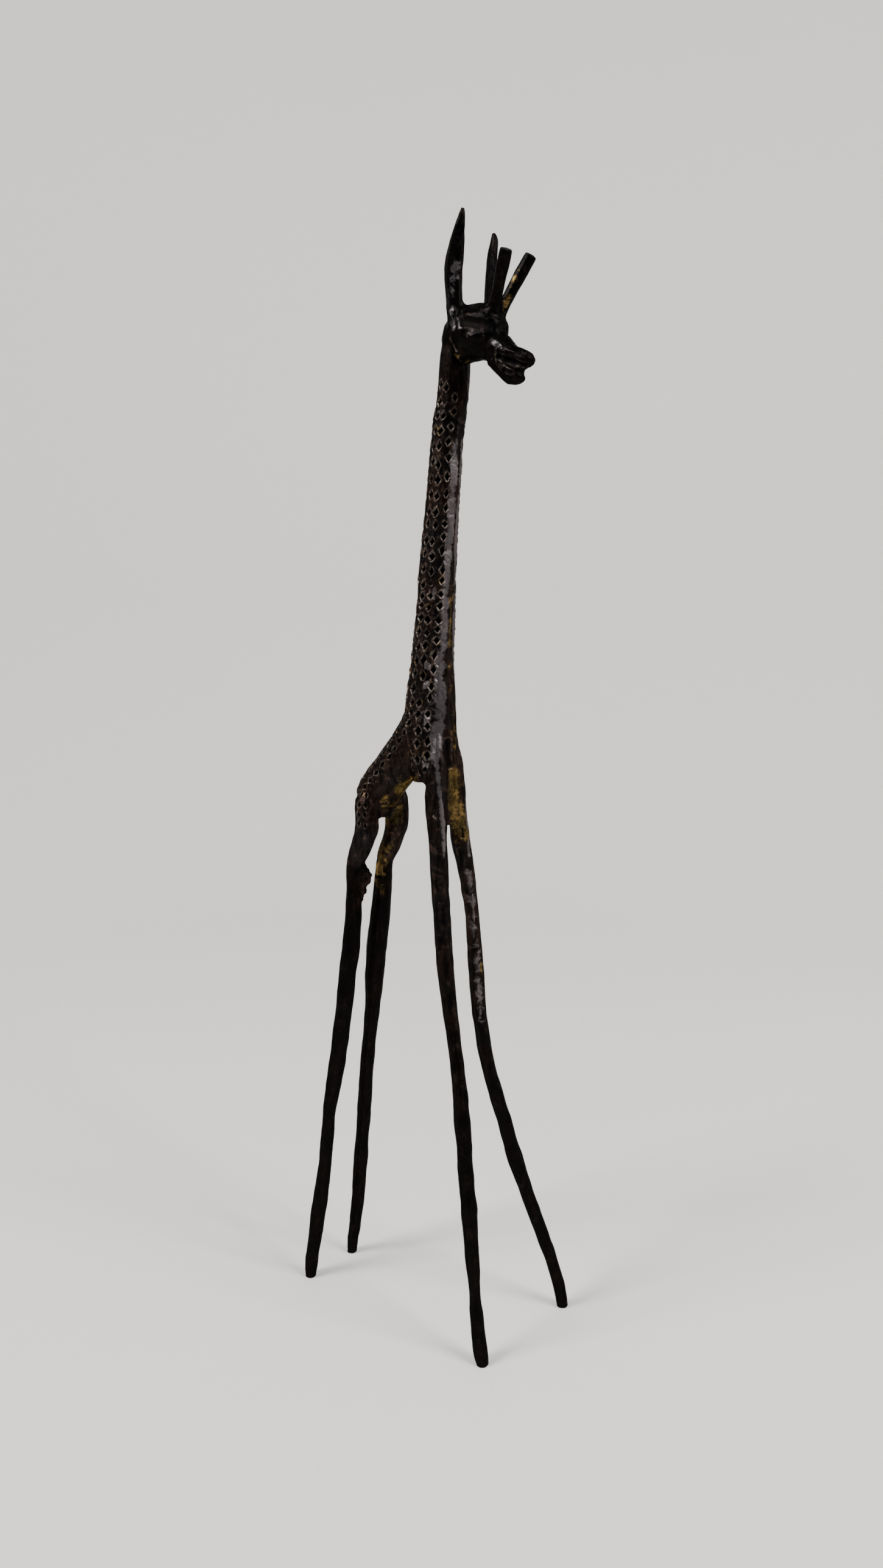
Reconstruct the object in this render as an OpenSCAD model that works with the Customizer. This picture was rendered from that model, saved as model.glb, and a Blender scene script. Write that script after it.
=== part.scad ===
// Standing giraffe in cast bronze: very tall legs, a short sloping trunk, a long neck.
// Millimetres. +X is the way the animal faces, +Y is its left, +Z is up.
// The feet stand on z = 0 and the origin is the middle of the footprint.

/* [Stance] */
// Height of the fork between the front legs
fork_height = 143; // [110:1:175]
// How far the front feet stand ahead of the origin
front_foot_x = 32; // [24:0.5:42]
// How far the rear feet stand behind the origin
rear_foot_x = 34; // [26:1:44]
// How far the front left foot stands ahead of the front right one
left_foot_lead = 3; // [0:0.5:6]
// Front right foot, measured to the right of the origin
front_right_foot_y = 18; // [12:1:26]
// Front left foot, measured to the left of the origin
front_left_foot_y = 17.5; // [12:0.5:26]
// Rear right foot, measured to the right of the origin
rear_right_foot_y = 17; // [10:1:24]
// Rear left foot, measured to the left of the origin
rear_left_foot_y = 0.5; // [-4:0.5:12]
// Middle plane of the body, measured to the right of the origin
body_offset_y = 5; // [0:0.5:10]

/* [Legs] */
// Thickness of a leg halfway down
leg_d = 4.2; // [3.2:0.1:5.4]
// Thickness of a foot where it meets the ground
foot_d = 3.2; // [2.4:0.1:4.6]
// Distance between the front legs' middles at the fork
fork_gap = 9.4; // [8:0.2:12]
// Distance between the rear thighs' middles
hip_gap = 10.6; // [9:0.2:13]
// Thickness of a rear thigh at the hip
thigh_d = 7; // [5.6:0.2:8.6]
// Height of a rear thigh, from the hip down to the hock
thigh_length = 19; // [15:0.5:25]
// How far the hocks stand behind the hips
hock_setback = 4.5; // [2:0.5:7]
// How far the left thigh stands ahead of the right one
hip_stagger = 2; // [0:0.5:4]

/* [Trunk] */
// From the neck's axis back to the hips
trunk_length = 16.5; // [13:0.5:20]
// How far the trunk falls between the withers and the hips
trunk_drop = 23; // [18:0.5:28]
// Thickness of the trunk, back to belly
trunk_depth = 11; // [9:0.5:14]
// Width of the trunk across the flanks
trunk_width = 12; // [9.5:0.5:15]

/* [Neck] */
// From the fork up to the throat
neck_length = 117.5; // [90:0.5:150]
// Thickness of the neck just above the chest
neck_base_d = 12.5; // [10:0.5:15]
// Thickness of the neck under the head
neck_top_d = 8.2; // [6.6:0.2:10]
// How far the neck leans forward on its way up
neck_lean = 9; // [3:0.5:14]

/* [Head] */
// Length of the skull, from the nape to the forehead
skull_length = 17.5; // [14:0.5:22]
// Width of the skull
skull_width = 9.6; // [8:0.2:12]
// Height of the skull, from the throat to the crown
skull_height = 14; // [11:0.5:17]
// How far the muzzle stands ahead of the skull
muzzle_length = 8.5; // [6.5:0.5:11]
// Thickness of the muzzle where it leaves the skull
muzzle_d = 7.4; // [6:0.2:9]
// Thickness of the lower jaw where it leaves the skull
jaw_d = 4.6; // [3.6:0.2:5.6]
// Length of the right ear above the skull
right_ear_length = 24; // [18:0.5:30]
// Length of the left ear above the skull
left_ear_length = 19.5; // [14:0.5:26]
// Width of an ear across its leaf
ear_width = 4.9; // [3.8:0.1:6]
// Thickness of an ear's leaf
ear_thickness = 2.5; // [1.8:0.1:3.2]
// Length of the right horn
right_horn_length = 15; // [11:0.5:19]
// Length of the left horn
left_horn_length = 16; // [11:0.5:20]
// Thickness of a horn
horn_d = 3.2; // [2.4:0.1:3.8]

/* [Hidden] */

// Sides of a ring: neck and skull, trunk and thighs, legs, small rods
NECK_SIDES = 20;
TRUNK_SIDES = 16;
LEG_SIDES = 12;
ROD_SIDES = 10;

RIGHT = -1;
LEFT = 1;
BRONZE = [0.16, 0.13, 0.12];
DARK_BRONZE = [0.09, 0.08, 0.08];
WORN_BRONZE = [0.42, 0.33, 0.18];

// Middle of the body, of the neck at fork height and of the fork, which is the chest's front
body_y = -body_offset_y;
neck_x = 1;
fork_x = 8;

// Thickness of a front leg at the fork and of a rear leg at the hock
fork_d = 1.3 * leg_d;
hock_d = 1.2 * leg_d;

// The rear feet are staggered less than the front ones
REAR_LEAD_SHARE = 0.3;

// Withers: where the trunk's axis leaves the neck. Hips: where both thighs start.
withers_z = fork_height + 27;
hip_x = neck_x - trunk_length;
hip_z = withers_z - trunk_drop;
hock_x = hip_x - hock_setback;
hock_z = hip_z - thigh_length;

// Throat: the top of the neck's axis. The skull's middle stands ahead of it and above.
throat_z = fork_height + neck_length;
throat_x = neck_x + neck_lean;
skull_at = [throat_x + 0.33 * skull_length, body_y, throat_z + 0.52 * skull_height];
crown_z = skull_at[2] + 0.5 * skull_height;

// The muzzle and the lower jaw start inside the skull and droop; the mouth stands open
MUZZLE_DROOP = 2.4;
MOUTH_OPENING = 2.9;
JAW_SETBACK = 2.3;
muzzle_root = skull_at + [0.28 * skull_length, 0, -0.2 * skull_height];
muzzle_tip = skull_at + [0.5 * skull_length + muzzle_length, 0, -0.5 * skull_height - MUZZLE_DROOP];
jaw_root = skull_at + [0.36 * skull_length, 0, -0.47 * skull_height];
jaw_tip = muzzle_tip + [-JAW_SETBACK, 0, -MOUTH_OPENING];

// Ears and horns are sunk into the crown. An ear's leaf faces forward, turned outward by EAR_TURN.
EAR_SINK = 2;
HORN_SINK = 3.5;
EAR_TURN = 38;
right_ear_root = [skull_at[0] - 0.19 * skull_length, body_y - 0.38 * skull_width, crown_z - EAR_SINK];
left_ear_root = [skull_at[0] + 0.04 * skull_length, body_y + 0.5 * skull_width, crown_z - EAR_SINK];

// How far a horn leans forward and outward for each millimetre that it rises
HORN_LEAN = 0.49;
HORN_SPREAD = 0.28;

// ---------------------------------------------------------------- curves and rings

function mix(a, b, t) = a + (b - a) * t;
function unit(v) = v / norm(v);
function across(v, along) = unit(v - (v * along) * along);

// A smooth curve through the vectors of a list; u runs from 0 to the last index.
function through(list, u) =
    let (
        last = len(list) - 1,
        i = min(max(floor(u), 0), last - 1),
        f = u - i,
        before = list[max(i - 1, 0)],
        here = list[i],
        next = list[i + 1],
        after = list[min(i + 2, last)]
    )
    here + 0.5 * f * (next - before + f * (2 * before - 5 * here + 4 * next - after
        + f * (3 * (here - next) + after - before)));

// A station is [x, y, z, half depth, half width]. A ring lies square to the path,
// with its width along side; a level ring lies flat, with its width along Y.
function place(s) = [s[0], s[1], s[2]];
function path_direction(stations, u) =
    let (step = 0.05, last = len(stations) - 1)
    unit(place(through(stations, min(u + step, last))) - place(through(stations, max(u - step, 0))));

function ring(station, depth_axis, width_axis, sides) = [
    for (k = [0 : sides - 1])
        place(station)
            + depth_axis * station[3] * cos(360 * k / sides)
            + width_axis * station[4] * sin(360 * k / sides)
];

function square_ring(stations, u, side, sides) =
    let (
        along = path_direction(stations, u),
        width_axis = across(side, along),
        depth_axis = cross(width_axis, along)
    )
    ring(through(stations, u), depth_axis, width_axis, sides);

function level_ring(stations, u, sides) = ring(through(stations, u), [1, 0, 0], [0, 1, 0], sides);

// A closed skin over a stack of rings that all have the same number of points.
module skin(rings) {
    sides = len(rings[0]);
    last = len(rings) - 1;
    start = [rings[1][0], rings[1][floor(sides / 3)], rings[1][floor(2 * sides / 3)]];
    travel = rings[last][0] - rings[0][0];
    wall = [
        for (i = [0 : last - 1], k = [0 : sides - 1])
            let (a = i * sides + k, b = i * sides + (k + 1) % sides)
            each [[a, a + sides, b], [b, a + sides, b + sides]]
    ];
    first_cap = [[for (k = [0 : sides - 1]) k]];
    last_cap = [[for (k = [sides - 1 : -1 : 0]) last * sides + k]];
    faces = concat(wall, first_cap, last_cap);
    turns_with_travel = cross(start[1] - start[0], start[2] - start[0]) * travel > 0;
    points = [for (r = rings) each r];
    polyhedron(points, turns_with_travel ? faces : [for (f = faces) [for (k = [len(f) - 1 : -1 : 0]) f[k]]]);
}

module square_rod(stations, side, sides, rings_per_gap) {
    count = (len(stations) - 1) * rings_per_gap;
    skin([for (i = [0 : count]) square_ring(stations, i / rings_per_gap, side, sides)]);
}

module level_rod(stations, sides, rings_per_gap) {
    count = (len(stations) - 1) * rings_per_gap;
    skin([for (i = [0 : count]) level_ring(stations, i / rings_per_gap, sides)]);
}

// ---------------------------------------------------------------- neck and chest

// Share of the neck's height, forward bow, depth and width as shares of the taper
NECK_RUN = [
    [0.09, 1.6, 0.98, 0.90],
    [0.19, -0.6, 1.40, 1.01],
    [0.29, -1.4, 1.38, 1.04],
    [0.36, -1.5, 1.21, 1.04],
    [0.48, -1.5, 1.11, 1.04],
    [0.60, -1.8, 1.15, 1.04],
    [0.75, -1.4, 1.10, 1.00],
    [0.85, -1.2, 1.02, 0.98],
    [0.95, -0.3, 1.02, 0.98],
    [1.04, 0.3, 1.08, 1.02]
];

function neck_stations() = [
    for (row = NECK_RUN)
        let (r = 0.5 * mix(neck_base_d, neck_top_d, min(1, row[0] * 1.5)))
        [
            mix(neck_x, throat_x, row[0]) + row[1],
            body_y,
            mix(fork_height, throat_z, row[0]),
            r * row[2],
            r * row[3]
        ]
];

module neck_form() {
    level_rod(neck_stations(), NECK_SIDES, 4);
}

module neck() {
    color(BRONZE)
        difference() {
            neck_form();
            skull_form();
            front_leg_form(RIGHT);
            front_leg_form(LEFT);
        }
}

// The web is the wall of metal behind the gutter between the front legs. Its edges end inside them.
// Height above the fork, setback, half depth, distance from an edge to the leg's middle
WEB_RUN = [
    [-1, 0, 0.8, 1],
    [4, 0.6, 1.8, 0.4],
    [10, 1.4, 3.2, 0.8],
    [17, 2.4, 4.4, 2]
];

module chest_web_form() {
    level_rod([
        for (row = WEB_RUN)
            [fork_x - row[1], body_y, fork_height + row[0], row[2], 0.5 * fork_gap - row[3]]
    ], TRUNK_SIDES, 2);
}

module chest_web() {
    color(WORN_BRONZE)
        difference() {
            chest_web_form();
            neck_form();
            front_leg_form(RIGHT);
            front_leg_form(LEFT);
        }
}

// ---------------------------------------------------------------- trunk

// Share of the way back to the hips, share of the fall to the hips, step forward, step up,
// and what is added to the trunk's half depth and half width
TRUNK_RUN = [
    [0, 0, 1.5, 11, -0.6, -1.4],
    [0, 0, -0.5, 0, 1, -0.4],
    [0.36, 0.37, 0, 0, 0.9, 0],
    [0.78, 0.68, 0, 0, 0.5, 0.2],
    [1, 1, -1.2, 1, 0.4, 0.8],
    [1, 1, -2, -5, -2, -0.6]
];

module trunk_form() {
    square_rod([
        for (row = TRUNK_RUN)
            [
                mix(neck_x, hip_x, row[0]) + row[2],
                body_y,
                mix(withers_z, hip_z, row[1]) + row[3],
                0.5 * trunk_depth + row[4],
                0.5 * trunk_width + row[5]
            ]
    ], [0, 1, 0], TRUNK_SIDES, 3);
}

module trunk() {
    color(BRONZE)
        difference() {
            trunk_form();
            neck_form();
            chest_web_form();
            front_leg_form(RIGHT);
            front_leg_form(LEFT);
            thigh_form(RIGHT);
            thigh_form(LEFT);
        }
}

// ---------------------------------------------------------------- legs

// Share of the way down, bend forward, bend to the left, thickness as a share of leg_d
FRONT_RIGHT_RUN = [
    [0.06, -0.3, 0, 1.24],
    [0.17, -0.9, 0, 1.17],
    [0.26, -1.2, 0, 1.17],
    [0.35, -0.8, 0, 0.98],
    [0.44, 0.1, 0, 0.93],
    [0.54, 0.1, 0, 1.00],
    [0.70, 0, 0, 1.04],
    [0.80, -0.3, 0, 0.93],
    [0.89, -0.5, 0, 0.81],
    [0.97, -0.2, 0, 0.95]
];
FRONT_LEFT_RUN = [
    [0.06, -0.7, 0, 1.24],
    [0.12, -1.2, 0, 1.12],
    [0.19, -1.8, -0.6, 0.98],
    [0.29, -3.2, -2.0, 1.08],
    [0.39, -4.7, -3.4, 1.02],
    [0.49, -5.0, -4.0, 1.00],
    [0.59, -4.2, -3.4, 1.04],
    [0.70, -3.2, -2.6, 1.08],
    [0.80, -1.7, -1.6, 1.00],
    [0.89, -0.2, -0.5, 0.93],
    [0.96, 0.3, 0, 0.92]
];
REAR_RIGHT_RUN = [
    [0.05, 0.4, 0, 1.08],
    [0.11, 1.2, 0, 1.18],
    [0.22, 1.7, 0, 1.26],
    [0.34, 1.6, 0, 1.14],
    [0.46, 1.4, 0, 1.24],
    [0.57, 0.4, 0, 0.98],
    [0.70, 0.7, 0, 0.91],
    [0.82, 0.5, 0, 1.05],
    [0.95, -0.3, 0, 0.97]
];
REAR_LEFT_RUN = [
    [0.06, 0, 0, 1.28],
    [0.11, 0, 0, 1.38],
    [0.24, -0.4, 0, 1.42],
    [0.36, 0, 0, 1.10],
    [0.49, -0.4, 0, 1.00],
    [0.61, 0, 0, 0.98],
    [0.74, 0.3, 0, 1.02],
    [0.87, 0.6, 0, 0.95],
    [0.96, 0, 0, 0.86]
];

function run_stations(top, foot, run) = [
    for (row = run)
        let (at = mix(top, foot, row[0]), r = 0.5 * leg_d * row[3])
        [at[0] + row[1], at[1] + row[2], at[2], r, r]
];

function foot_station(foot) = [foot[0], foot[1], 0, 0.5 * foot_d, 0.5 * foot_d];

function fork_at(hand) = [fork_x, body_y + hand * 0.5 * fork_gap, fork_height];
function front_foot(hand) = [
    front_foot_x + hand * 0.5 * left_foot_lead,
    hand == RIGHT ? -front_right_foot_y : front_left_foot_y,
    0
];

// A front leg starts inside the neck and leaves the chest at the fork.
// Height above the fork, setback, step towards the middle, half depth, half width
LEG_ROOT_RUN = [
    [26, 1.6, 2.2, 1.6, 1.6],
    [15, 0.6, 1.2, 2.7, 2.6],
    [7, 0.6, 0.4, 3.1, 2.8]
];

function front_leg_stations(hand) =
    let (fork = fork_at(hand), foot = front_foot(hand))
    concat(
        [
            for (row = LEG_ROOT_RUN)
                [fork[0] - row[1], fork[1] - hand * row[2], fork[2] + row[0], row[3], row[4]]
        ],
        [[fork[0], fork[1], fork[2], 0.5 * fork_d, 0.5 * fork_d]],
        run_stations(fork, foot, hand == RIGHT ? FRONT_RIGHT_RUN : FRONT_LEFT_RUN),
        [foot_station(foot)]
    );

module front_leg_form(hand) {
    level_rod(front_leg_stations(hand), LEG_SIDES, 2);
}

module front_leg(hand) {
    color(BRONZE) front_leg_form(hand);
}

function hip_at(hand) = [hip_x + hand * 0.5 * hip_stagger, body_y + hand * 0.5 * hip_gap, hip_z];
function hock_at(hand) = [hock_x + hand * 0.5 * hip_stagger, body_y + hand * 0.5 * hip_gap, hock_z];
function rear_foot(hand) = [
    -rear_foot_x + hand * 0.5 * REAR_LEAD_SHARE * left_foot_lead,
    hand == RIGHT ? -rear_right_foot_y : rear_left_foot_y,
    0
];

// Share of the way back to the hock, share of the way down to it, half depth and half width
// as shares of thigh_d. The thigh's tip, above these, is sunk into the trunk.
THIGH_RUN = [
    [0, 0, 0.51, 0.425],
    [0, 0.42, 0.51, 0.44],
    [0.3, 0.62, 0.47, 0.43],
    [0.65, 0.82, 0.45, 0.42]
];
THIGH_SINK = [0.5, 1.4, 4];

module thigh_form(hand) {
    hip = hip_at(hand);
    hock = hock_at(hand);
    tip = hip + [THIGH_SINK[0], -hand * THIGH_SINK[1], THIGH_SINK[2]];
    level_rod(concat(
        [[tip[0], tip[1], tip[2], 0.3 * thigh_d, 0.2 * thigh_d]],
        [
            for (row = THIGH_RUN)
                [
                    mix(hip[0], hock[0], row[0]),
                    hip[1],
                    mix(hip[2], hock[2], row[1]),
                    row[2] * thigh_d,
                    row[3] * thigh_d
                ]
        ],
        [[hock[0], hock[1], hock[2], 0.5 * hock_d, 0.5 * hock_d]]
    ), TRUNK_SIDES, 3);
}

module thigh(hand) {
    color(BRONZE) thigh_form(hand);
}

function rear_leg_stations(hand) =
    let (hock = hock_at(hand), foot = rear_foot(hand))
    concat(
        [[hock[0], hock[1], hock[2], 0.5 * hock_d, 0.5 * hock_d]],
        run_stations(hock, foot, hand == RIGHT ? REAR_RIGHT_RUN : REAR_LEFT_RUN),
        [foot_station(foot)]
    );

module rear_leg_form(hand) {
    level_rod(rear_leg_stations(hand), LEG_SIDES, 2);
}

module rear_leg(hand) {
    color(DARK_BRONZE) rear_leg_form(hand);
}

// The fin is metal that ran into the mould's seam, on the front inner side of the rear right leg.
// Share of the fin's length, reach as a share of FIN_REACH, half thickness
FIN_RUN = [
    [0, 0.6, 0.4],
    [0.2, 0.85, 0.6],
    [0.45, 1, 0.6],
    [0.65, 0.86, 0.6],
    [0.85, 0.7, 0.5],
    [1, 0.55, 0.4]
];
// Length, reach in front of the leg's middle and behind it, and rise above the hock
FIN_LENGTH = 12;
FIN_REACH = 4.9;
FIN_ROOT_REACH = 1;
FIN_RISE = 1.5;

module casting_fin() {
    fin_axis = [0.8, 0.6, 0];
    fin_side = [-0.6, 0.8, 0];
    top = hock_at(RIGHT) + [0, 0, FIN_RISE];
    stations = [
        for (row = FIN_RUN)
            let (
                half = 0.5 * (FIN_REACH * row[1] + FIN_ROOT_REACH),
                at = top - [0, 0, FIN_LENGTH * row[0]] + fin_axis * (half - FIN_ROOT_REACH)
            )
            [at[0], at[1], at[2], half, row[2]]
    ];
    rings_per_gap = 2;
    count = (len(stations) - 1) * rings_per_gap;
    color(WORN_BRONZE)
        difference() {
            skin([
                for (i = [0 : count])
                    ring(through(stations, i / rings_per_gap), fin_axis, fin_side, ROD_SIDES)
            ]);
            rear_leg_form(RIGHT);
            thigh_form(RIGHT);
        }
}

// ---------------------------------------------------------------- head

// Share of the skull's length, rise, half height and half width as shares of the skull
SKULL_RUN = [
    [0.00, -0.08, 0.34, 0.48],
    [0.09, -0.02, 0.66, 0.80],
    [0.30, 0.03, 0.94, 0.98],
    [0.52, 0.02, 1.00, 1.00],
    [0.74, 0.02, 0.92, 0.94],
    [0.91, 0.00, 0.68, 0.80],
    [1.00, -0.04, 0.38, 0.54]
];

module skull_form() {
    rings_per_gap = 2;
    stations = [
        for (row = SKULL_RUN)
            [
                skull_at[0] + (row[0] - 0.5) * skull_length,
                body_y,
                skull_at[2] + row[1] * skull_height,
                0.5 * skull_height * row[2],
                0.5 * skull_width * row[3]
            ]
    ];
    count = (len(stations) - 1) * rings_per_gap;
    skin([
        for (i = [0 : count])
            ring(through(stations, i / rings_per_gap), [0, 0, 1], [0, 1, 0], NECK_SIDES)
    ]);
}

module skull() {
    color(DARK_BRONZE) skull_form();
}

// Share of the way from root to tip, rise, half height and half width as shares of the muzzle
MUZZLE_RUN = [
    [0.00, 0, 1.20, 1.00],
    [0.28, 0, 0.98, 0.92],
    [0.52, -0.4, 0.70, 0.78],
    [0.76, 0, 0.62, 0.70],
    [0.93, 0.2, 0.52, 0.58],
    [1.00, 0, 0.26, 0.34]
];
JAW_RUN = [
    [0.00, 0, 1.00, 1.20],
    [0.36, -0.5, 1.08, 1.12],
    [0.66, -0.9, 1.06, 1.02],
    [0.90, -0.5, 0.64, 0.80],
    [1.00, 0, 0.30, 0.44]
];

function face_stations(root, tip, r, run) = [
    for (row = run)
        let (at = mix(root, tip, row[0]))
        [at[0], at[1], at[2] + row[1], r * row[2], r * row[3]]
];

module muzzle_form() {
    square_rod(face_stations(muzzle_root, muzzle_tip, 0.5 * muzzle_d, MUZZLE_RUN), [0, 1, 0], TRUNK_SIDES, 2);
}

module muzzle() {
    color(DARK_BRONZE)
        difference() {
            muzzle_form();
            skull_form();
        }
}

module lower_jaw() {
    color(DARK_BRONZE)
        difference() {
            square_rod(face_stations(jaw_root, jaw_tip, 0.5 * jaw_d, JAW_RUN), [0, 1, 0], TRUNK_SIDES, 2);
            skull_form();
            muzzle_form();
        }
}

// An ear is a pointed leaf that faces forward and outward.
// Share of the ear's length, forward bow, thickness and width as shares of the ear
RIGHT_EAR_RUN = [
    [-0.16, 0.4, 1.00, 0.90],
    [0.15, -0.2, 1.00, 0.94],
    [0.42, -0.5, 1.00, 1.00],
    [0.68, 0.6, 0.80, 0.80],
    [0.90, 1.8, 0.55, 0.42],
    [1.00, 2.3, 0.25, 0.14]
];
LEFT_EAR_RUN = [
    [-0.20, 0.6, 1.00, 0.90],
    [0.20, 0.6, 1.00, 0.92],
    [0.45, 0.8, 1.00, 1.00],
    [0.75, 1.3, 1.00, 0.84],
    [0.92, 1.8, 0.72, 0.50],
    [1.00, 1.6, 0.30, 0.20]
];

module ear(hand, ear_length, root, run) {
    leaf_axis = [cos(EAR_TURN), -hand * sin(EAR_TURN), 0];
    color(DARK_BRONZE)
        difference() {
            square_rod([
                for (row = run)
                    [
                        root[0] + row[1],
                        root[1],
                        root[2] + row[0] * ear_length,
                        0.5 * ear_thickness * row[2],
                        0.5 * ear_width * row[3]
                    ]
            ], leaf_axis, ROD_SIDES, 3);
            skull_form();
        }
}

// The horns are straight rods in a V, leaning forward and apart.
// Share of the horn's length, thickness as a share of horn_d
HORN_RUN = [[0, 1.15], [0.35, 0.90], [0.75, 1.00], [1, 1.02]];

module horn_form(hand) {
    root = [skull_at[0] + 0.37 * skull_length, body_y + hand * 0.12 * skull_width, crown_z - HORN_SINK];
    lean = unit([HORN_LEAN, hand * HORN_SPREAD, 1]) * (hand == RIGHT ? right_horn_length : left_horn_length);
    square_rod([
        for (row = HORN_RUN)
            let (at = root + row[0] * lean, r = 0.5 * horn_d * row[1])
            [at[0], at[1], at[2], r, r]
    ], [0, 1, 0], ROD_SIDES, 3);
}

module horn(hand) {
    color(DARK_BRONZE)
        difference() {
            horn_form(hand);
            skull_form();
            if (hand == LEFT)
                horn_form(RIGHT);
        }
}

// ---------------------------------------------------------------- the nodes

neck();
chest_web();
trunk();
front_leg(RIGHT);  // front_right_leg
front_leg(LEFT);  // front_left_leg
thigh(RIGHT);  // rear_right_thigh
thigh(LEFT);  // rear_left_thigh
rear_leg(RIGHT);  // rear_right_leg
rear_leg(LEFT);  // rear_left_leg
casting_fin();
skull();
muzzle();
lower_jaw();
ear(RIGHT, right_ear_length, right_ear_root, RIGHT_EAR_RUN);  // right_ear
ear(LEFT, left_ear_length, left_ear_root, LEFT_EAR_RUN);  // left_ear
horn(RIGHT);  // right_horn
horn(LEFT);  // left_horn
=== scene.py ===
import math

import bpy
import numpy as np
from mathutils import Euler, Matrix, Vector
from mathutils.bvhtree import BVHTree


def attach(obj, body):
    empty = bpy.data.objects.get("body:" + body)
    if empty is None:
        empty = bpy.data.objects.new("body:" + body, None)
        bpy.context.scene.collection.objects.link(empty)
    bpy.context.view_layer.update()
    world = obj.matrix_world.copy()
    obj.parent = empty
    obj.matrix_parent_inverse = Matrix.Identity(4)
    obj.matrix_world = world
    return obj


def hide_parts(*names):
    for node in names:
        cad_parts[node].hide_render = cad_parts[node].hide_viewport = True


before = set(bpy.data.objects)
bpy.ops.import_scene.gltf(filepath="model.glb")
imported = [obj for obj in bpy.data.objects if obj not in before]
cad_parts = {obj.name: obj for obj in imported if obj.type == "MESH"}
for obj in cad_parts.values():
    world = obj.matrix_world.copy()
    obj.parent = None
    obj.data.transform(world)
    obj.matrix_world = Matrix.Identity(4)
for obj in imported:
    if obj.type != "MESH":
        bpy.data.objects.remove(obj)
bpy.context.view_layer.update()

MM = 0.001
VOXEL = 0.22        # mm, edge of the skin's faces
SWELL = 0.42       # mm, how far the skin swells and shrinks again to round its inner corners
BODY_Y = -5.0      # mm, the animal's middle plane


# ---------------------------------------------------------------- numbers and noise

def smooth(a, b, x):
    """0 at a, 1 at b, eased, for arrays."""
    t = np.clip((x - a) / (b - a), 0.0, 1.0)
    return t * t * (3 - 2 * t)


def bump(x, middle, reach):
    """1 at the middle, falling to 0 at reach on both sides."""
    return 1 - smooth(0, 1, np.abs(x - middle) / reach)


def scramble(i, j, k, seed):
    """A steady random number from 0 to 1 for each whole-number triple."""
    h = (i.astype(np.int64) * 73856093) ^ (j.astype(np.int64) * 19349663) ^ (k.astype(np.int64) * 83492791)
    h = (h ^ (seed * 2654435761)) & 0xFFFFFFFF
    h = ((h ^ (h >> 16)) * 0x45D9F3B) & 0xFFFFFFFF
    h = ((h ^ (h >> 16)) * 0x45D9F3B) & 0xFFFFFFFF
    return ((h ^ (h >> 16)) & 0xFFFFFF) / float(0xFFFFFF)


def noise(p, size, seed):
    """Smooth noise from -1 to 1. size is one length in mm, or three for a stretched grain."""
    q = p / np.asarray(size, float)
    i = np.floor(q)
    f = q - i
    w = f * f * f * (f * (f * 6 - 15) + 10)
    total = np.zeros(len(p))
    for dx in (0, 1):
        for dy in (0, 1):
            for dz in (0, 1):
                share = (w[:, 0] if dx else 1 - w[:, 0]) * (w[:, 1] if dy else 1 - w[:, 1]) * (w[:, 2] if dz else 1 - w[:, 2])
                total += share * scramble(i[:, 0] + dx, i[:, 1] + dy, i[:, 2] + dz, seed)
    return total * 2 - 1


def rough(p, size, seed, layers=3):
    """Noise with finer and fainter layers on top."""
    total, weight, reach = np.zeros(len(p)), 0.0, 1.0
    for n in range(layers):
        total += reach * noise(p, np.asarray(size, float) / 2 ** n, seed + 17 * n)
        weight += reach
        reach *= 0.5
    return total / weight


# ---------------------------------------------------------------- meshes as arrays

def read(mesh):
    """Points in mm, quads and edges of a mesh that has only quads."""
    p = np.empty(len(mesh.vertices) * 3)
    mesh.vertices.foreach_get("co", p)
    quads = np.empty(len(mesh.loops), np.int32)
    mesh.loops.foreach_get("vertex_index", quads)
    e = np.empty(len(mesh.edges) * 2, np.int32)
    mesh.edges.foreach_get("vertices", e)
    return p.reshape(-1, 3) / MM, quads.reshape(-1, 4), e.reshape(-1, 2)


def write(mesh, p):
    mesh.vertices.foreach_set("co", (p * MM).astype(np.float32).ravel())
    mesh.update()


def normals_of(p, quads):
    """Point normals, weighted by face area."""
    a, b, c, d = (p[quads[:, k]] for k in range(4))
    n = np.cross(c - a, d - b)
    total = np.zeros_like(p)
    for k in range(4):
        for axis in range(3):
            total[:, axis] += np.bincount(quads[:, k], n[:, axis], len(p))
    return total / np.maximum(np.linalg.norm(total, axis=1), 1e-12)[:, None]


class Web:
    """The edges of a mesh, for averaging a value over neighbours."""

    def __init__(self, count, edges):
        self.n, self.a, self.b = count, edges[:, 0], edges[:, 1]
        self.degree = np.maximum(np.bincount(self.a, minlength=count) + np.bincount(self.b, minlength=count), 1)

    def mean(self, v):
        if v.ndim == 1:
            return (np.bincount(self.a, v[self.b], self.n) + np.bincount(self.b, v[self.a], self.n)) / self.degree
        return np.stack([self.mean(v[:, k]) for k in range(v.shape[1])], 1)

    def blur(self, v, times, share=0.5):
        for _ in range(times):
            v = v + share * (self.mean(v) - v)
        return v

    def fair(self, p, times, down=0.60, up=-0.625):
        """Smooths facets away without shrinking thin rods."""
        for _ in range(times):
            p = p + down * (self.mean(p) - p)
            p = p + up * (self.mean(p) - p)
        return p


def remeshed(obj, voxel):
    """obj's mesh made again as even quads."""
    m = obj.modifiers.new("remesh", "REMESH")
    m.mode = "VOXEL"
    m.voxel_size = voxel * MM
    m.adaptivity = 0
    mesh = bpy.data.meshes.new_from_object(obj.evaluated_get(bpy.context.evaluated_depsgraph_get()))
    obj.modifiers.remove(m)
    old, obj.data = obj.data, mesh
    bpy.data.meshes.remove(old)
    return mesh


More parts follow.
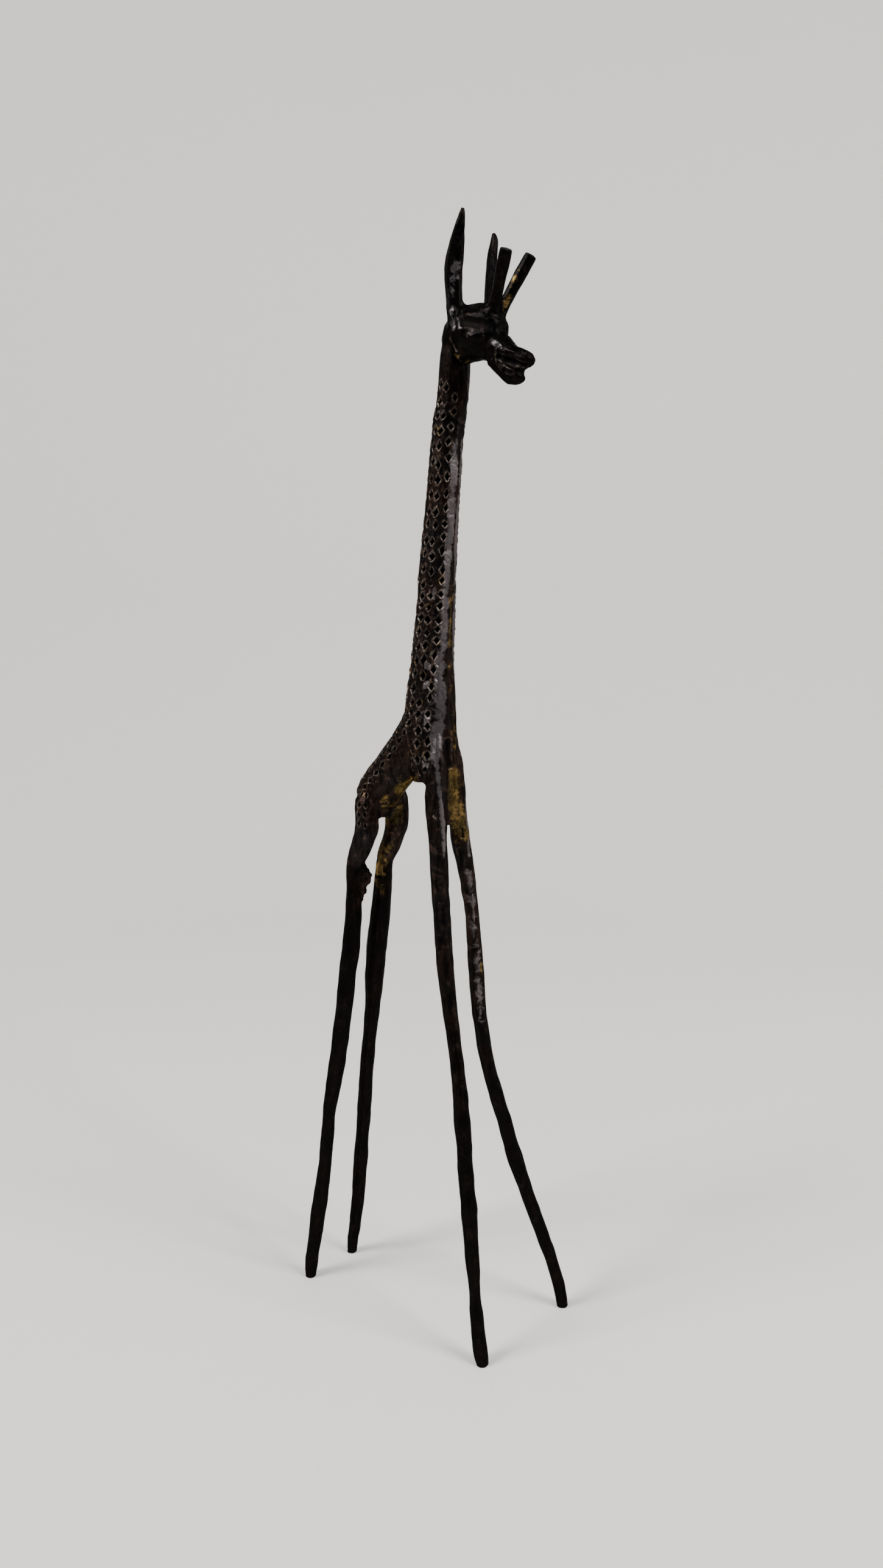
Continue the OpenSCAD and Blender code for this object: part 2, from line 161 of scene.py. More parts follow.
def base_skin():
    """One closed skin over copies of all the CAD nodes, with rounded inner corners."""
    points, faces, first = [], [], 0
    for name in sorted(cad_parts):
        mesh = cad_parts[name].data
        p = np.empty(len(mesh.vertices) * 3)
        mesh.vertices.foreach_get("co", p)
        p = p.reshape(-1, 3) / MM
        same, where = np.unique(np.round(p, 4), axis=0, return_inverse=True)
        where = where.ravel()
        mesh.calc_loop_triangles()
        t = np.empty(len(mesh.loop_triangles) * 3, np.int32)
        mesh.loop_triangles.foreach_get("vertices", t)
        t = where[t.reshape(-1, 3)]
        t = t[(t[:, 0] != t[:, 1]) & (t[:, 1] != t[:, 2]) & (t[:, 0] != t[:, 2])]
        n = np.cross(same[t[:, 1]] - same[t[:, 0]], same[t[:, 2]] - same[t[:, 0]])
        total = np.zeros_like(same)
        for k in range(3):
            for axis in range(3):
                total[:, axis] += np.bincount(t[:, k], n[:, axis], len(same))
        total /= np.maximum(np.linalg.norm(total, axis=1), 1e-12)[:, None]
        points.append(same + SWELL * total)
        faces.append(t + first)
        first += len(same)
    points, faces = np.concatenate(points), np.concatenate(faces)
    mesh = bpy.data.meshes.new("skin")
    mesh.from_pydata((points * MM).tolist(), [], faces.tolist())
    obj = bpy.data.objects.new("skin", mesh)
    bpy.context.scene.collection.objects.link(obj)
    mesh = remeshed(obj, VOXEL)
    p, quads, edges = read(mesh)
    web = Web(len(p), edges)
    write(mesh, p - SWELL * web.blur(normals_of(p, quads), 4))
    return obj


# ---------------------------------------------------------------- which node each point belongs to

def nodes_tree():
    """A search tree over all the CAD nodes, and the number of the node that owns each of its faces."""
    verts, faces, owner = [], [], []
    for k, name in enumerate(NODES):
        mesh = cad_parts[name].data
        first = len(verts)
        verts += [tuple(v.co / MM) for v in mesh.vertices]
        for f in mesh.polygons:
            faces.append([first + i for i in f.vertices])
            owner.append(k)
    return BVHTree.FromPolygons(verts, faces), np.array(owner)


def owners(p):
    tree, owner = nodes_tree()
    find = tree.find_nearest
    return owner[[find(q)[2] for q in p.tolist()]]


class Rod:
    """The middle line of an upright CAD node, from level cuts through it."""

    def __init__(self, name, low, high, step=3.0):
        p = np.array([v.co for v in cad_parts[name].data.vertices]) / MM
        self.z, rows = np.arange(low, high, step), []
        for z in self.z:
            cut = p[np.abs(p[:, 2] - z) < 0.75 * step]
            while len(cut) < 8:
                step *= 1.3
                cut = p[np.abs(p[:, 2] - z) < 0.75 * step]
            lo, hi = cut.min(0), cut.max(0)
            rows.append(((lo[0] + hi[0]) / 2, (lo[1] + hi[1]) / 2, (hi[0] - lo[0]) / 2, (hi[1] - lo[1]) / 2))
        self.rows = np.array(rows)

    def at(self, z):
        """Middle x and y, half depth along X and half width along Y at each height."""
        return [np.interp(z, self.z, self.rows[:, k]) for k in range(4)]


# ---------------------------------------------------------------- shaping tools

class Clay:
    """The skin while it is shaped: its points, and the layers that its materials read: exposed metal with a painted
    brown reflection on the neck's front, painted highlights and reflections, and painted shade.
    """

    def __init__(self, p, quads, web):
        self.p, self.quads, self.web = p, quads, web
        self.normal = normals_of(p, quads)
        self.rest = p.copy()          # masks are placed on the plain skin
        self.height = np.zeros(len(p))
        # exposed brass, and a painted brown reflection on the neck's front
        self.brass_and_reflection = np.zeros(len(p))
        # painted shade in pits, grooves and holes
        self.painted_hollow_shade = np.zeros(len(p))
        # painted highlights and reflections
        self.painted_highlight = np.zeros(len(p))
        self.facing = self.normal.copy()

    def raise_by(self, h):
        """Adds a height in mm along the plain skin's normals."""
        self.height += h

    def near(self, line, reach):
        """Nearness from 1 on a line of points to 0 at reach, on the plain skin."""
        line = np.asarray(line, float)
        lo, hi = line.min(0) - reach, line.max(0) + reach
        chosen = np.flatnonzero(np.all((self.rest > lo) & (self.rest < hi), axis=1))
        q, best = self.rest[chosen], np.full(len(chosen), 1e9)
        if len(line) == 1:
            best = np.linalg.norm(q - line[0], axis=1)
        for a, b in zip(line[:-1], line[1:]):
            d = b - a
            t = np.clip(((q - a) @ d) / (d @ d), 0, 1)
            best = np.minimum(best, np.linalg.norm(q - a - t[:, None] * d, axis=1))
        out = np.zeros(len(self.rest))
        out[chosen] = 1 - smooth(0, 1, best / reach)
        return out

    def stroke(self, line, reach, height, brass_and_reflection=0.0, painted_hollow_shade=0.0, painted_highlight=0.0, both=False):
        """A raised or sunk line or spot. both makes it again on the animal's other side."""
        lines = [np.asarray(line, float)]
        if both:
            lines.append(lines[0] * [1, -1, 1] + [0, 2 * BODY_Y, 0])
        for one in lines:
            w = self.near(one, reach)
            self.height += height * w
            self.brass_and_reflection = np.maximum(self.brass_and_reflection, brass_and_reflection * w)
            self.painted_hollow_shade = np.maximum(self.painted_hollow_shade, painted_hollow_shade * w)
            self.painted_highlight = np.maximum(self.painted_highlight, painted_highlight * w)

    def flatten(self, where, middle, direction, limit):
        """Presses a flat onto a rod: nothing stands further from its middle along direction than limit."""
        along = ((self.rest - middle) * direction).sum(1)
        over = where * np.maximum(0.0, along - limit)
        self.p -= over[:, None] * direction
        return smooth(0.0, 0.12, over)


def punched(s, t, across, down, seed, net, grown=1.0):
    """Diamond pits in rows. Pits sit at whole numbers of s and t; across and down are a cell's size in mm.
    Returns the height in mm, how deep in a pit each point is, and how much it lies on a raised edge."""
    i, j = np.round(s), np.round(t)
    none = np.zeros_like(i)
    r = [scramble(i, j, none + k, seed) for k in range(6)]
    x = (s - i - 0.16 * (r[0] - 0.5)) * across
    y = (t - j - 0.26 * (r[1] - 0.5)) * down
    x = x + (r[2] - 0.5) * 0.35 * y
    a = 0.80 * (0.82 + 0.36 * r[3]) * grown
    b = 1.18 * (0.85 + 0.30 * r[4]) * grown
    d = np.abs(x) / a + np.abs(y) / b
    hole = 1 - smooth(0.42, 0.98, d)
    depth = 0.75 + 0.5 * r[5]
    rim = np.exp(-((d - 1.26) / 0.28) ** 2)
    cross = np.exp(-((np.abs(s - i) + np.abs(t - j) - 0.5) / 0.075) ** 2)
    edge = np.maximum(rim * (0.35 + 0.75 * r[0]), cross * net)
    return 0.22 * edge - depth * hole, hole, edge


def neck_columns(z):
    """Angles of the pit columns round the neck at each height, from the back, and of its smooth front."""
    heights = [157, 172, 190, 200, 257]
    rows = [[15] * 5, [45] * 5, [70, 72, 75, 77, 76], [88, 93, 102, 105, 99], [110, 117, 132, 138, 135],
            [150, 156, 168, 172, 172]]
    return [np.interp(z, heights, row) for row in rows]


# ---------------------------------------------------------------- the skin

NODES = sorted(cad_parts)
NUMBER = {name: k for k, name in enumerate(NODES)}

skin = base_skin()
P, QUADS, EDGES = read(skin.data)
web = Web(len(P), EDGES)
P = web.fair(P, 36)
LABEL = owners(P)


def relaxed(p, where, times):
    """p with plain smoothing where the mask is 1."""
    return p + where[:, None] * (web.blur(p, times) - p)


# the forms run into each other, and the horns' ends are rounded
border = np.zeros(len(P))
border[EDGES[LABEL[EDGES[:, 0]] != LABEL[EDGES[:, 1]]]] = 1.0
upper = smooth(133, 138, P[:, 2])
horn_ends = np.isin(LABEL, [NUMBER["right_horn"], NUMBER["left_horn"]]) * smooth(281.0, 283.5, P[:, 2])
P = relaxed(P, np.maximum(upper * np.clip(14 * web.blur(border, 40), 0, 1), horn_ends), 22)
clay = Clay(P, QUADS, web)
X, Y, Z = clay.rest.T


def part(*names):
    """1 on those nodes, with a soft edge."""
    hit = np.isin(LABEL, [NUMBER[n] for n in names]).astype(float)
    return web.blur(hit, 6)


HEAD = part("skull", "muzzle", "lower_jaw")
EARS = part("right_ear", "left_ear")
HORNS = part("right_horn", "left_horn")
FRONT_LEGS = part("front_right_leg", "front_left_leg")
REAR_LEGS = part("rear_right_leg", "rear_left_leg")
THIGHS = part("rear_right_thigh", "rear_left_thigh")
FIN = part("casting_fin")

# hand-formed wax: slow swellings, then a finer unevenness drawn out along the rods
legs = np.clip(FRONT_LEGS + REAR_LEGS, 0, 1)
wobble = 0.15 * noise(clay.rest, 6.5, 3) + 0.07 * noise(clay.rest, 2.6, 5) + legs * 0.12 * noise(clay.rest, 4.2, 6)
streaks = legs * 0.085 * noise(clay.rest, [1.5, 1.5, 9.0], 7) + (1 - legs) * 0.04 * noise(clay.rest, [1.4, 1.4, 2.4], 8)
clay.raise_by(wobble * (1 - 0.3 * EARS - 0.3 * HORNS) + streaks)

# neck: angle round the middle line, from the back towards the right side
neck_rod = Rod("neck", 176, 257)
nx, ny, ndepth, nwidth = neck_rod.at(Z)
angle = np.degrees(np.arctan2(-(Y - BODY_Y) / nwidth, -(X - nx) / ndepth))
turn = np.abs(angle)
columns = neck_columns(Z)
s = 0.5 * np.clip(turn / columns[0], 0, 1)
for a, b in zip(columns[:-1], columns[1:]):
    s = s + np.clip((turn - a) / (b - a), 0, 1)
cell = np.clip(np.floor(s + 0.5), 0, 5).astype(int)
spread = np.radians(np.choose(np.clip(cell, 1, 5) - 1, [b - a for a, b in zip(columns[:-1], columns[1:])]))
side = np.where(angle >= 0, 1.0, -1.0)
s = s * side - 0.5
row = np.interp(Z, [120, 160.1, 190.2, 209.7, 252.2, 290], [36, 25, 17, 11, 0, -10])
shift = np.choose(np.clip(np.round(s) + 6, 0, 11).astype(int), [0.1, 0.2, -0.3, 0.4, 0.15, 0.5, 0, 0.35, 0.1, 0.0, 0.22, 0.1])
drift = 0.16 * noise(clay.rest, 9.0, 11)
radius = 0.5 * (ndepth + nwidth)
lower = 1 - smooth(196, 226, Z)
net = (0.2 + 1.1 * lower) * smooth(-0.45, 0.35, rough(clay.rest, 4.0, 13, 2))
h, hole, edge = punched(s + 0.5 * drift, row + shift + drift, np.maximum(1.6, spread * radius), 3.8, 21, net,
                        1 + 0.18 * lower)
on_neck = part("neck", "front_right_leg", "front_left_leg")
neck_mask = on_neck * (1 - smooth(columns[4] + 9, columns[4] + 15, turn)) * smooth(155.5, 158.5, Z)
neck_mask *= 1 - smooth(np.where(turn > 118, 252.8, 256.6), np.where(turn > 118, 254.2, 258.4), Z)
gone = scramble(np.round(s), np.round(row + shift), np.zeros_like(s), 77) > 0.94
h = np.where(gone, 0.25 * h, h)
hole = np.where(gone, 0.3 * hole, hole)
clay.raise_by(neck_mask * (h + (0.03 + 0.1 * lower) * rough(clay.rest, 1.3, 15, 2)))
PIT = neck_mask * hole
EDGE = neck_mask * edge

# back and rump: the same pits, closer, on a line that falls from the withers to the right thigh
SPINE = np.array([(2.5, 186.0), (0.5, 170.0), (-4.9, 161.5), (-11.9, 154.4), (-17.0, 148.5), (-18.5, 138.0)])


def along_spine(x, z):
    """Way along the spine, and height above it towards the back."""
    best, way, above, gone_by = np.full(len(x), 1e9), np.zeros(len(x)), np.zeros(len(x)), 0.0
    for (ax, az), (bx, bz) in zip(SPINE[:-1], SPINE[1:]):
        dx, dz = bx - ax, bz - az
        length = math.hypot(dx, dz)
        t = np.clip(((x - ax) * dx + (z - az) * dz) / length ** 2, 0, 1)
        off_x, off_z = x - ax - t * dx, z - az - t * dz
        d = np.hypot(off_x, off_z)
        nearer = d < best
        way = np.where(nearer, gone_by + t * length, way)
        above = np.where(nearer, (off_x * dz - off_z * dx) / length, above)
        best = np.minimum(best, d)
        gone_by += length
    return way, above


way, above = along_spine(X, Z)
lean = np.degrees(np.arctan2(-(Y - BODY_Y), above))
s2 = lean / 27 + 0.35 * drift
h2, hole2, edge2 = punched(s2, way / 2.95 + 0.35 * np.abs(np.round(s2)) + drift, 3.1, 2.95, 31, 0.9)
back_mask = part("trunk") * (1 - smooth(97, 103, np.abs(lean))) * smooth(12, 16, way)
h2 *= 0.85
clay.raise_by(back_mask * h2)
PIT = np.maximum(PIT, back_mask * hole2)
EDGE = np.maximum(EDGE, back_mask * edge2)

for thigh_name in ("rear_right_thigh", "rear_left_thigh"):
    rod = Rod(thigh_name, 130, 152)
    tx, ty, tdepth, twidth = rod.at(Z)
    hand = 1 if thigh_name == "rear_right_thigh" else -1
    swing = np.degrees(np.arctan2(-hand * (Y - ty), -(X - tx)))
    h3, hole3, edge3 = punched(swing / 42 + 0.3 * drift, (152 - Z) / 2.9 + 0.4 * drift, 2.7, 2.9, 41 + hand, 0.9)
    mask = part(thigh_name) * bump(swing, 84, 62) ** 0.5 * smooth(136, 141, Z)
    clay.raise_by(0.8 * mask * h3)
    PIT = np.maximum(PIT, mask * hole3)
    EDGE = np.maximum(EDGE, mask * edge3)

# flats: a smooth strip down each side of the neck's front that runs on down the leg
for hand in (1, -1):
    for rod, heights, turns, names, share in (
        (neck_rod, [160, 174, 190, 257], [-55, -43, -22, -20], ("neck",), 0.962),
        (Rod("front_right_leg" if hand > 0 else "front_left_leg", 4, 168), [40, 142, 152, 166], [-14, -14, -33, -58],
         ("front_right_leg" if hand > 0 else "front_left_leg",), 0.94),
    ):
        mx, my, md, mw = rod.at(Z)
        if names[0] == "neck":
            my = np.full_like(my, BODY_Y)
        a = np.radians(np.interp(Z, heights, turns)) * hand
        direction = np.stack([np.cos(a), np.sin(a), np.zeros_like(a)], 1)
        reach = np.hypot(md * direction[:, 0], mw * direction[:, 1])
        limit = reach * (share + 0.003 * noise(clay.rest, 7.0, 51) + 0.5 * (1 - smooth(118, 132, Z)))
        on = clay.flatten(part(*names), np.stack([mx, my, Z], 1), direction, limit)
        clay.raise_by(0.06 * on * rough(clay.rest, 1.4, 53, 2))

# the strip carries a painted reflection, ragged where it meets the pits, and runs on from the neck down the leg;
# painted highlights lie between the lower neck's pits, and a painted brown reflection along the neck's front
strip_turn = np.interp(Z, [158, 166, 174, 200, 257], [132, 136, 141, 157, 162])
strip = on_neck * bump(turn, strip_turn, 26) ** 0.5 * smooth(157, 161, Z) * (1 - 0.8 * smooth(238, 250, Z))
clay.painted_highlight = np.maximum(clay.painted_highlight, (0.72 + 0.25 * rough(clay.rest, 5.0, 55, 2)) * strip)
# painted highlights between the lower neck's pits
between = neck_mask * bump(turn, 112, 26) * lower * smooth(0.0, 0.4, rough(clay.rest, 2.4, 57, 2)) * (1 - PIT)
clay.painted_highlight = np.maximum(clay.painted_highlight, 0.85 * between)
# painted brown reflection along the neck's front, drawn with the brass colours
neck_front_reflection = on_neck * smooth(162, 172, turn) * smooth(158, 164, Z) * (1 - smooth(205, 225, Z))
clay.brass_and_reflection = np.maximum(clay.brass_and_reflection, 0.44 * neck_front_reflection)
clay.stroke([(7.6, -10.4, 168.0), (8.3, -10.5, 160.0), (9.7, -10.7, 152.0), (10.5, -10.4, 142.0), (10.9, -10.5, 133.0)],
            1.5, 0.05, painted_highlight=0.8, both=True)

# ridge where the neck's side meets the flank
clay.stroke([(-1.9, -10.5, 169.4), (-1.1, -10.7, 165.9), (-0.6, -10.5, 163.2), (0.4, -10.4, 161.0), (1.5, -10.4, 158.9),
             (2.9, -10.4, 155.7)], 0.6, 0.35, brass_and_reflection=0.3, both=True)
# gutter between the front legs: a hollow at its top with painted shade in it, rough below
clay.stroke([(9.6, -6.9, 164.6), (9.7, -6.9, 161.5), (9.7, -6.6, 158.8)], 1.7, -1.3, painted_hollow_shade=1.0)
gutter = bump(Y, -4.6, 4.4) * smooth(6.5, 8.5, X) * smooth(139, 143, Z) * (1 - smooth(156, 160, Z))
clay.raise_by(gutter * 0.14 * rough(clay.rest, 1.3, 61))

# head: grooves with painted shade in them, and painted highlights on the brow, cheek, jaw, muzzle and nose
clay.stroke([(15.6, -9.7, 269.9), (18.4, -9.7, 269.2), (20.8, -9.4, 268.5), (23.2, -8.8, 267.6)], 1.7, -0.42, painted_hollow_shade=0.4, both=True)
clay.stroke([(16.5, -9.3, 271.6), (19.5, -9.0, 271.2), (22.5, -8.3, 270.4), (24.2, -7.2, 269.2)], 1.4, 0.26, both=True)
clay.stroke([(18.8, -9.6, 266.4), (21.2, -9.1, 266.0)], 2.6, 0.35, both=True)
clay.stroke([(14.6, -9.4, 265.4), (17.4, -8.4, 263.3), (20.2, -7.8, 262.0)], 1.5, -0.45, painted_hollow_shade=0.7, both=True)
clay.stroke([(13.2, -9.7, 272.6), (14.4, -9.8, 270.1), (15.2, -9.9, 267.8)], 1.5, 0.35, painted_highlight=0.5, both=True)
clay.stroke([(11.8, -9.4, 266.6), (12.6, -8.9, 265.0), (13.2, -8.4, 263.5)], 0.55, 0.3, painted_highlight=0.7, both=True)
clay.stroke([(12.6, -8.5, 262.7), (13.4, -8.0, 262.2)], 0.8, 0.1, brass_and_reflection=0.9)
clay.stroke([(14.4, -5.8, 261.3), (15.4, -6.4, 261.6)], 0.9, 0.12, brass_and_reflection=0.9)
clay.stroke([(25.2, -7.9, 260.7), (26.9, -7.7, 259.8), (28.6, -7.4, 259.2), (30.2, -7.0, 258.6), (32.2, -6.4, 257.8)],
            0.9, -0.8, painted_hollow_shade=1.0, both=True)
clay.stroke([(27.4, -7.7, 259.6), (29.4, -7.2, 258.8)], 1.5, -0.7, painted_hollow_shade=1.0, both=True)
clay.stroke([(22.0, -8.8, 266.0), (24.6, -8.4, 263.8), (27.8, -7.9, 262.0)], 2.4, 0.0, painted_highlight=0.45, both=True)
clay.stroke([(31.8, -6.6, 260.6), (32.8, -5.6, 259.6)], 1.3, 0.0, painted_highlight=0.6, both=True)
clay.stroke([(17.6, -9.8, 266.6), (20.6, -9.4, 266.2)], 2.2, 0.0, painted_highlight=0.38, both=True)
clay.stroke([(25.0, -8.0, 262.2), (24.3, -7.9, 260.6), (24.7, -7.6, 258.8), (26.0, -7.3, 257.4)], 0.7, 0.3, both=True)
clay.stroke([(23.6, -8.0, 262.0), (23.2, -7.8, 260.6)], 0.5, -0.35, painted_hollow_shade=0.7, both=True)
clay.stroke([(26.8, -7.5, 258.2), (28.4, -7.2, 257.4), (30.0, -6.8, 256.6)], 0.6, 0.22, both=True)
clay.stroke([(27.0, -7.4, 257.0), (28.6, -7.2, 256.2)], 0.45, -0.25, painted_hollow_shade=0.6, both=True)
clay.stroke([(31.2, -7.0, 260.9)], 0.75, -0.4, painted_hollow_shade=0.8, both=True)
clay.stroke([(29.6, -7.4, 261.0), (27.6, -7.6, 261.8)], 0.6, 0.2, both=True)
clay.stroke([(32.8, -6.2, 259.4)], 1.0, 0.2, both=True)
clay.stroke([(20.5, -8.2, 272.4), (22.6, -7.8, 271.6)], 1.2, 0.3, brass_and_reflection=0.35, both=True)
clay.raise_by(HEAD * (0.10 * rough(clay.rest, 2.2, 71) + 0.05 * rough(clay.rest, 0.9, 73, 2)))

# ears: a shallow trough down the face of the leaf, and a painted highlight on its lower half
clay.stroke([(13.9, -8.9, 291.5), (13.2, -9.2, 287.5), (12.6, -9.4, 283.0), (12.6, -9.4, 278.5)], 1.9, -0.55)
clay.stroke([(13.3, -9.3, 284.0), (12.6, -9.6, 280.0), (12.2, -9.7, 275.0), (13.3, -9.9, 269.0)], 2.4, 0.0, painted_highlight=0.5)
clay.raise_by(EARS * 0.09 * rough(clay.rest, [1.6, 1.6, 4.0], 81))

# horns
clay.raise_by(HORNS * 0.06 * rough(clay.rest, [1.1, 1.1, 3.5], 83))

# fin: ragged
clay.raise_by(FIN * 0.15 * rough(clay.rest, 1.5, 85))
fin_out = FIN * smooth(0, 3, (clay.rest - np.array([-19.5, -11.5, 0])) @ np.array([0.8, 0.6, 0]))
clay.p += (fin_out * (0.75 * rough(clay.rest * [0, 0, 1], 1.6, 87) - 0.35))[:, None] * np.array([0.8, 0.6, 0])

# flaws of the casting; the pit and the hole have painted shade in them
clay.stroke([(8.8, -12.1, 145.3), (9.6, -11.9, 144.6), (10.4, -11.2, 144.9)], 0.4, 0.35)
clay.stroke([(9.4, -12.0, 146.4)], 0.9, -0.3, painted_hollow_shade=0.9)
clay.stroke([(10.5, -1.3, 140.6), (10.5, -1.3, 138.6)], 0.8, -0.7, painted_hollow_shade=1.0)
clay.stroke([(9.7, -1.7, 138.0), (10.4, -0.9, 137.6)], 0.4, 0.3, brass_and_reflection=0.5)

# brass that shows where the dark film has worn away or never took; also painted shade between the rear thighs and a
# painted highlight down the far front leg
wander = rough(clay.rest, 3.5, 91, 3)
belly = part("trunk") * smooth(0.35, 0.85, -clay.normal[:, 2] + 0.3 * wander) * (1 - smooth(-1.0, 1.0, X))
inner = part("rear_left_thigh", "rear_left_leg") * smooth(0.1, 0.9, -clay.normal[:, 1] + 0.5 * wander)
inner *= smooth(108, 138, Z + 8 * wander) * (1 - 0.7 * bump(Z, 136.5, 5.5))
clay.brass_and_reflection = np.maximum.reduce([clay.brass_and_reflection, 1.0 * belly, 0.85 * inner])
clay.stroke([(9.5, -4.7, 155.5), (9.9, -4.2, 150.0), (10.4, -2.6, 143.0), (11.0, -1.6, 139.0)], 5.2, 0.0, brass_and_reflection=0.95)
clay.stroke([(-11.5, -8.8, 147.2), (-5.0, -9.6, 150.6), (1.2, -10.1, 154.4)], 2.3, 0.0, brass_and_reflection=0.85)
clay.stroke([(9.3, -4.2, 171.0), (9.6, -4.0, 160.0)], 2.0, 0.0, brass_and_reflection=0.55)
# painted shade between the rear thighs
clay.stroke([(-12.0, -6.4, 143.0), (-12.6, -4.6, 141.5)], 2.6, 0.0, painted_hollow_shade=1.0)
# painted highlight down the far front leg's lit facet
far_leg = Rod("front_left_leg", 80, 140)
line = [(x + 0.8 * d, y - 0.6 * w, z) for z in (131, 122, 113, 104, 95, 86) for x, y, d, w in [far_leg.at(z)]]
clay.stroke(line, 3.0, 0.0, painted_highlight=0.5)
clay.stroke(line[1:3], 1.1, 0.0, painted_highlight=0.7)
clay.stroke(line[1:3], 0.55, 0.3)
clay.stroke([(-17.0, -10.0, 140.5), (-15.0, -9.5, 146.0), (-14.0, -9.0, 143.0)], 1.6, 0.0, brass_and_reflection=0.8)
clay.stroke([(-15.8, -9.5, 126.5), (-16.5, -10.0, 122.0), (-15.2, -9.0, 117.0)], 2.4, 0.0, brass_and_reflection=0.9)
clay.stroke([(24.6, -4.1, 272.0), (25.7, -3.5, 277.5), (27.2, -3.0, 281.6)], 2.0, 0.0, brass_and_reflection=0.6)
clay.stroke([(9.0, -5.0, 200.5), (8.9, -5.1, 197.0), (8.8, -5.4, 193.5)], 0.8, 0.06, brass_and_reflection=0.9)
clay.stroke([(14.3, 2.2, 103.0), (14.6, 2.5, 99.5)], 0.7, 0.08, brass_and_reflection=0.8)

# the pits take painted shade
clay.painted_hollow_shade = np.maximum(clay.painted_hollow_shade, PIT)
P = clay.p + clay.height[:, None] * clay.normal
P = web.blur(P, 1, 0.35)
roots = clay.near([(7.2, -9.5, 171.0), (8.2, -10.0, 163.0)], 4.0) + clay.near([(7.2, -0.5, 171.0), (8.2, 0.0, 163.0)], 4.0)
P = relaxed(P, smooth(0.1, 0.5, roots) * (1 - np.clip(3 * web.blur(PIT, 4), 0, 1)), 16)

# the feet stay flat on the ground
P[:, 2] = np.maximum(P[:, 2], 0.0)

wide = web.blur(clay.height, 14)
FINE = clay.height - wide

# ---------------------------------------------------------------- one closed piece for each node

def tidy_labels(label, rings=14):
    """Smooths the borders between nodes and gives islands to their surroundings."""
    a, b = EDGES.T
    zone = np.zeros(len(label), bool)
    zone[EDGES[label[a] != label[b]]] = True
    for _ in range(rings):
        touched = zone[a] | zone[b]
        zone[a[touched]] = zone[b[touched]] = True
    inside = np.flatnonzero(zone)
    order = np.full(len(label), -1)
    order[inside] = np.arange(len(inside))
    both = zone[a] & zone[b]
    a, b = order[a[both]], order[b[both]]
    near = Web(len(inside), np.stack([a, b], 1))
    votes = np.stack([near.blur((label[inside] == k).astype(float), 8) for k in range(len(NODES))])
    mine = votes.argmax(0)
    sure = np.zeros(len(inside), bool)
    edge_of_zone = np.bincount(a, minlength=len(inside)) + np.bincount(b, minlength=len(inside)) < web.degree[inside]
    sure[edge_of_zone] = True
    for k in range(len(NODES)):        # a node that lies wholly in the zone keeps its largest patch
        own = np.flatnonzero(mine == k)
        if len(own) and not sure[own].any():
            sure[own[votes[k][own].argmax()]] = True
    for _ in range(8 * rings):
        grows = (mine[a] == mine[b]) & (sure[a] != sure[b])
        if not grows.any():
            break
        sure[a[grows]] = sure[b[grows]] = True
    while not sure.all():
        grows = sure[a] != sure[b]
        if not grows.any():
            break
        x, y = a[grows], b[grows]
        known = np.where(sure[x], x, y)
        new = np.where(sure[x], y, x)
        mine[new] = mine[known]
        sure[new] = True
    label = label.copy()
    label[inside] = mine
    return label


def loops_of(pairs):
    """Closed loops out of directed edges."""
    after = {}
    for a, b in pairs.tolist():
        after.setdefault(a, []).append(b)
    loops = []
    while after:
        start = next(iter(after))
        loop, here = [], start
        while here in after:
            loop.append(here)
            there = after[here].pop()
            if not after[here]:
                del after[here]
            here = there
            if here == start:
                break
        loops.append(loop)
    return loops


def build(name, mine, normals, stains_and_painted_light):
    """The faces of one node as its own closed mesh."""
    quads = QUADS[mine]
    used, inverse = np.unique(quads, return_inverse=True)
    quads = inverse.reshape(-1, 4)
    p, n = P[used], normals[used]
    count = len(used)
    a, b = quads.ravel(), np.roll(quads, -1, axis=1).ravel()
    open_edges = ~np.isin(a.astype(np.int64) * count + b, b.astype(np.int64) * count + a)
    loops = loops_of(np.stack([a[open_edges], b[open_edges]], 1))
    centres, triangles = [], []
    for loop in loops:
        middle = count + len(centres)
        centres.append(p[loop].mean(0))
        triangles += [(loop[(k + 1) % len(loop)], loop[k], middle) for k in range(len(loop))]
    points = np.concatenate([p, np.array(centres).reshape(-1, 3)]) * MM
    mesh = bpy.data.meshes.new(name)
    mesh.vertices.add(len(points))
    mesh.vertices.foreach_set("co", points.astype(np.float32).ravel())
    corners = np.concatenate([quads.ravel(), np.array(triangles, int).reshape(-1)])
    mesh.loops.add(len(corners))
    mesh.loops.foreach_set("vertex_index", corners.astype(np.int32))
    starts = np.concatenate([np.arange(len(quads)) * 4, len(quads) * 4 + np.arange(len(triangles)) * 3])
    mesh.polygons.add(len(starts))
    mesh.polygons.foreach_set("loop_start", starts.astype(np.int32))
    mesh.polygons.foreach_set("use_smooth", np.ones(len(starts), bool))
    mesh.update(calc_edges=True)
    for key, values in stains_and_painted_light.items():
        layer = mesh.attributes.new(key, "FLOAT", "POINT")
        layer.data.foreach_set("value", np.concatenate([values[used], np.zeros(len(centres))]).astype(np.float32))
    facing = np.concatenate([n, np.zeros((len(centres), 3))])[corners]
    if triangles:
        t = np.array(triangles)
        flat = np.cross(points[t[:, 1]] - points[t[:, 0]], points[t[:, 2]] - points[t[:, 0]])
        flat /= np.maximum(np.linalg.norm(flat, axis=1), 1e-15)[:, None]
        facing[len(quads) * 4:] = np.repeat(flat, 3, axis=0)
    mesh.normals_split_custom_set(facing.tolist())
    obj = bpy.data.objects.new(name, mesh)
    bpy.context.scene.collection.objects.link(obj)
    return obj


# ---------------------------------------------------------------- materials

